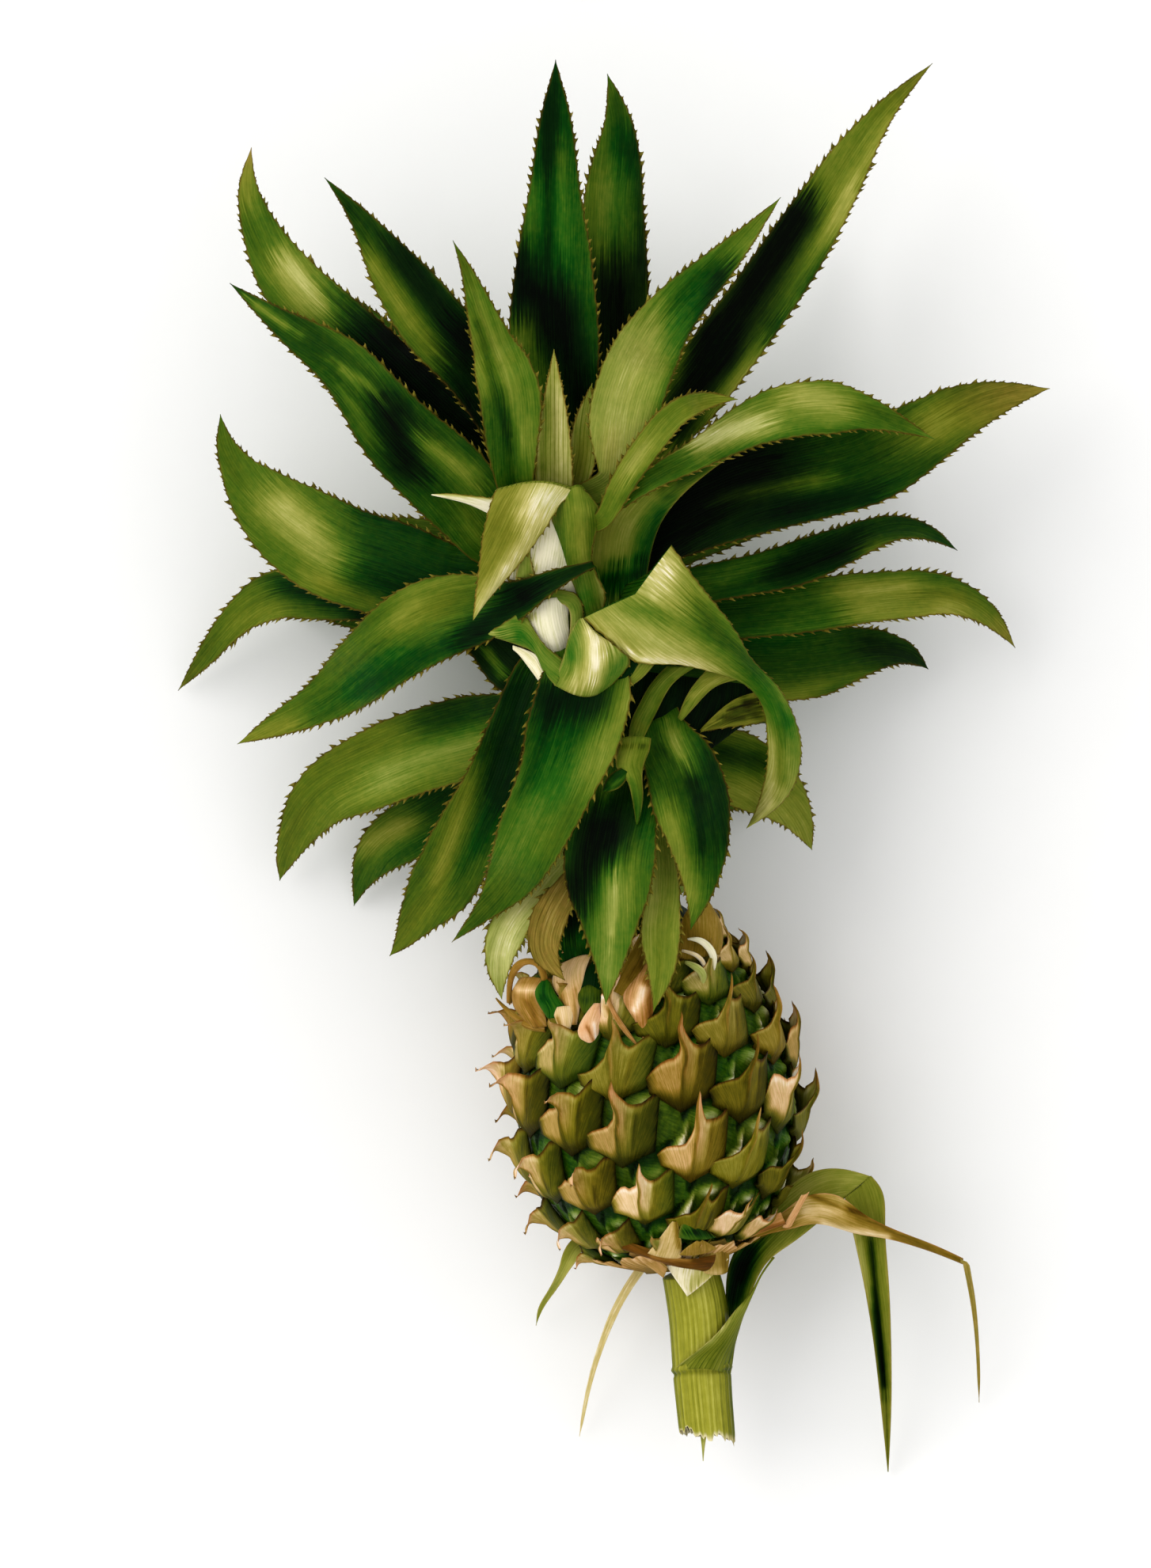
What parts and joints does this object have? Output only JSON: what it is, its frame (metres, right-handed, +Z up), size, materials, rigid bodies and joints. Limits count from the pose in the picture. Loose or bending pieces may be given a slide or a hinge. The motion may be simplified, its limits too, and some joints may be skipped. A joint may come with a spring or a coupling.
{
  "type": "cut pineapple with crown",
  "caption": "A cut pineapple lying on its side: scaly fruit, spiky crown of toothed leaves, a short stalk with a torn end and a few narrow stalk leaves.",
  "frame": {"origin": "middle of the underside of the resting plant's box, on the surface it lies on", "axes": "+Y along the fruit towards the crown's tip, +Z up from the surface, +X to the right when looking down with the crown away"},
  "size_m": [0.331, 0.5346, 0.1496],
  "materials": {
    "fruit_skin": "waxy scales, olive and brown bracts round green eyes",
    "stem_pale": "pale ribbed leaf bases round the crown's stem",
    "stalk": "fleshy yellow-green stalk with fine ribs",
    "leaf_green": "leathery green leaf with toothed brown margins",
    "leaf_light": "pale green leaf with fine lines",
    "leaf_yellow_green": "smooth yellow-green stalk leaf",
    "leaf_tan": "dry tan leaf or bract"
  },
  "bodies": {
    "root": {"crown_stem": "stem_pale", "fruit": "fruit_skin", "leaf_a": "leaf_green", "leaf_aa": "leaf_green", "leaf_b": "leaf_green", "leaf_bb": "leaf_green", "leaf_c": "leaf_light", "leaf_cc": "leaf_green", "leaf_d": "leaf_green", "leaf_dd": "leaf_green", "leaf_e": "leaf_green", "leaf_ee": "leaf_light", "leaf_f": "leaf_light", "leaf_ff": "leaf_green", "leaf_g": "leaf_green", "leaf_ga": "leaf_green", "leaf_gg": "leaf_green", "leaf_h": "leaf_green", "leaf_hh": "leaf_green", "leaf_i": "leaf_green", "leaf_ii": "leaf_green", "leaf_j": "leaf_green", "leaf_jj": "leaf_green", "leaf_k": "leaf_light", "leaf_l": "leaf_light", "leaf_m": "leaf_light", "leaf_nb": "leaf_tan", "leaf_o": "leaf_green", "leaf_p": "leaf_green", "leaf_q": "leaf_green", "leaf_r": "leaf_green", "leaf_s": "leaf_green", "leaf_t": "leaf_green", "leaf_u": "leaf_green", "leaf_under_a": "leaf_green", "leaf_under_b": "leaf_green", "leaf_under_c": "leaf_green", "leaf_under_d": "leaf_green", "leaf_under_e": "leaf_green", "leaf_under_f": "leaf_green", "leaf_under_g": "leaf_green", "leaf_under_h": "leaf_green", "leaf_under_i": "leaf_green", "leaf_under_k": "leaf_green", "leaf_under_m": "leaf_green", "leaf_under_n": "leaf_green", "leaf_under_o": "leaf_green", "leaf_under_p": "leaf_green", "leaf_v": "leaf_green", "leaf_w": "leaf_light", "leaf_x": "leaf_light", "leaf_y": "leaf_green", "stalk": "stalk", "stalk_bract": "leaf_tan", "stalk_leaf_a_fall": "leaf_yellow_green", "stalk_leaf_a_rise": "leaf_yellow_green", "stalk_leaf_b_fall": "leaf_tan", "stalk_leaf_b_rise": "leaf_tan", "stalk_leaf_c": "leaf_yellow_green", "stalk_leaf_d": "leaf_tan"}
  },
  "joints": []
}
